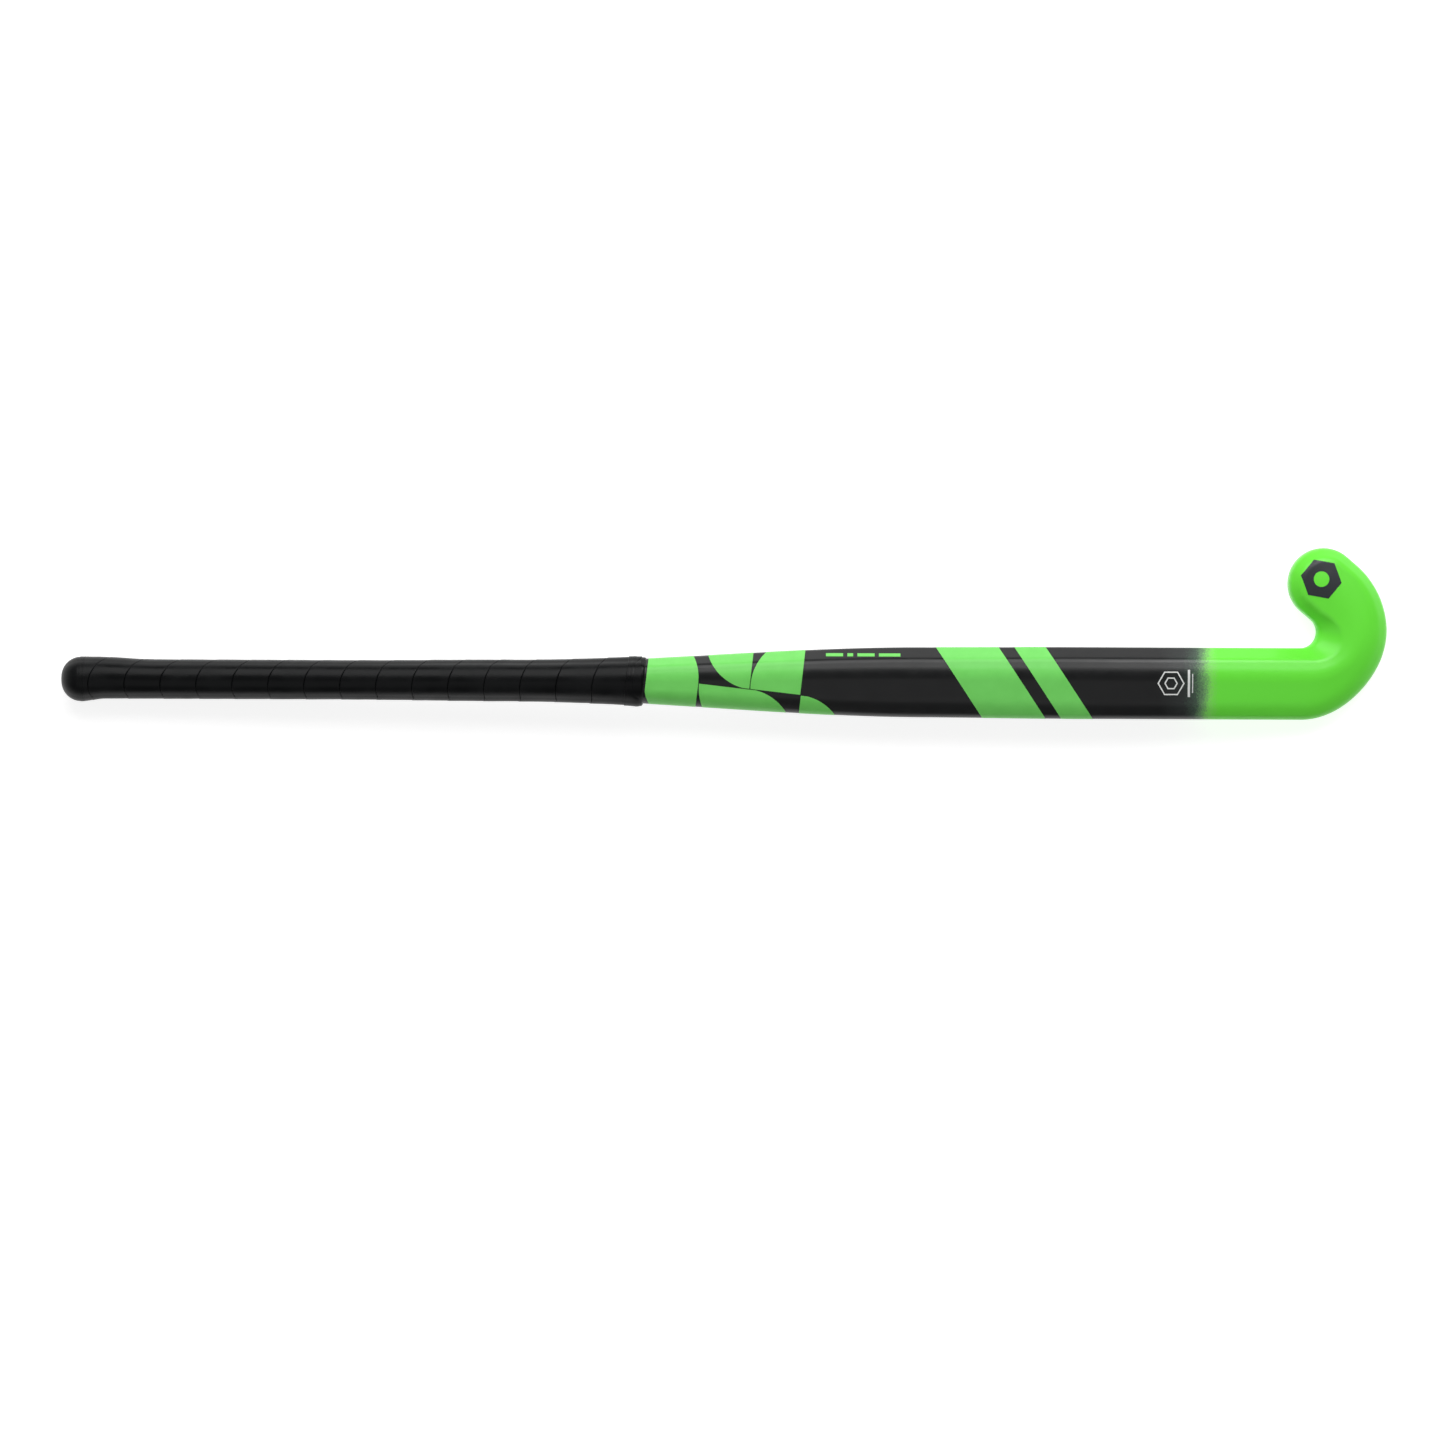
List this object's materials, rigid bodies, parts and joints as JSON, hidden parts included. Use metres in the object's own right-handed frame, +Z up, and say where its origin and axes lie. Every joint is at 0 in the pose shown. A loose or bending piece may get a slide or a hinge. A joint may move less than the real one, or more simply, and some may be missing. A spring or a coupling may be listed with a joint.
{
  "type": "field hockey stick",
  "caption": "Field hockey stick with a bowed flat-faced laminate shaft, a hooked head, a wound cushion grip and a domed butt cap.",
  "frame": {"origin": "under the middle of the whole stick, on the surface it lies on face down", "axes": "+X from the butt of the handle to the heel of the head, +Y towards the toe, +Z up through the rounded back"},
  "size_m": [0.9277, 0.1204, 0.0468],
  "materials": {
    "lacquered_laminate": "gloss black lacquer, green on the head",
    "moulded_tube": "matt",
    "foam": "foamed",
    "plug_plastic": "moulded",
    "sleeve_rubber": "moulded",
    "cap_rubber": "satin",
    "adhesive": "tacky",
    "grip_polyurethane": "satin, finely dimpled",
    "band_vinyl": "satin",
    "green_film": "satin",
    "white_film": "satin",
    "grey_film": "satin"
  },
  "bodies": {
    "root": {"outer_shell": "lacquered_laminate", "toe_side_tube": "moulded_tube", "heel_side_tube": "moulded_tube", "head_core": "foam", "butt_plug": "plug_plastic", "pommel_sleeve": "sleeve_rubber", "butt_cap": "cap_rubber", "grip_adhesive": "adhesive", "grip_tape": "grip_polyurethane", "finishing_band": "band_vinyl", "tile_film_1": "green_film", "tile_film_2": "green_film", "tile_film_3": "green_film", "tile_film_4": "green_film", "tile_film_5": "green_film", "wide_band_film": "green_film", "narrow_band_film": "green_film", "dash_film": "green_film", "badge_film": "white_film", "toe_mark_film": "grey_film"}
  },
  "joints": []
}
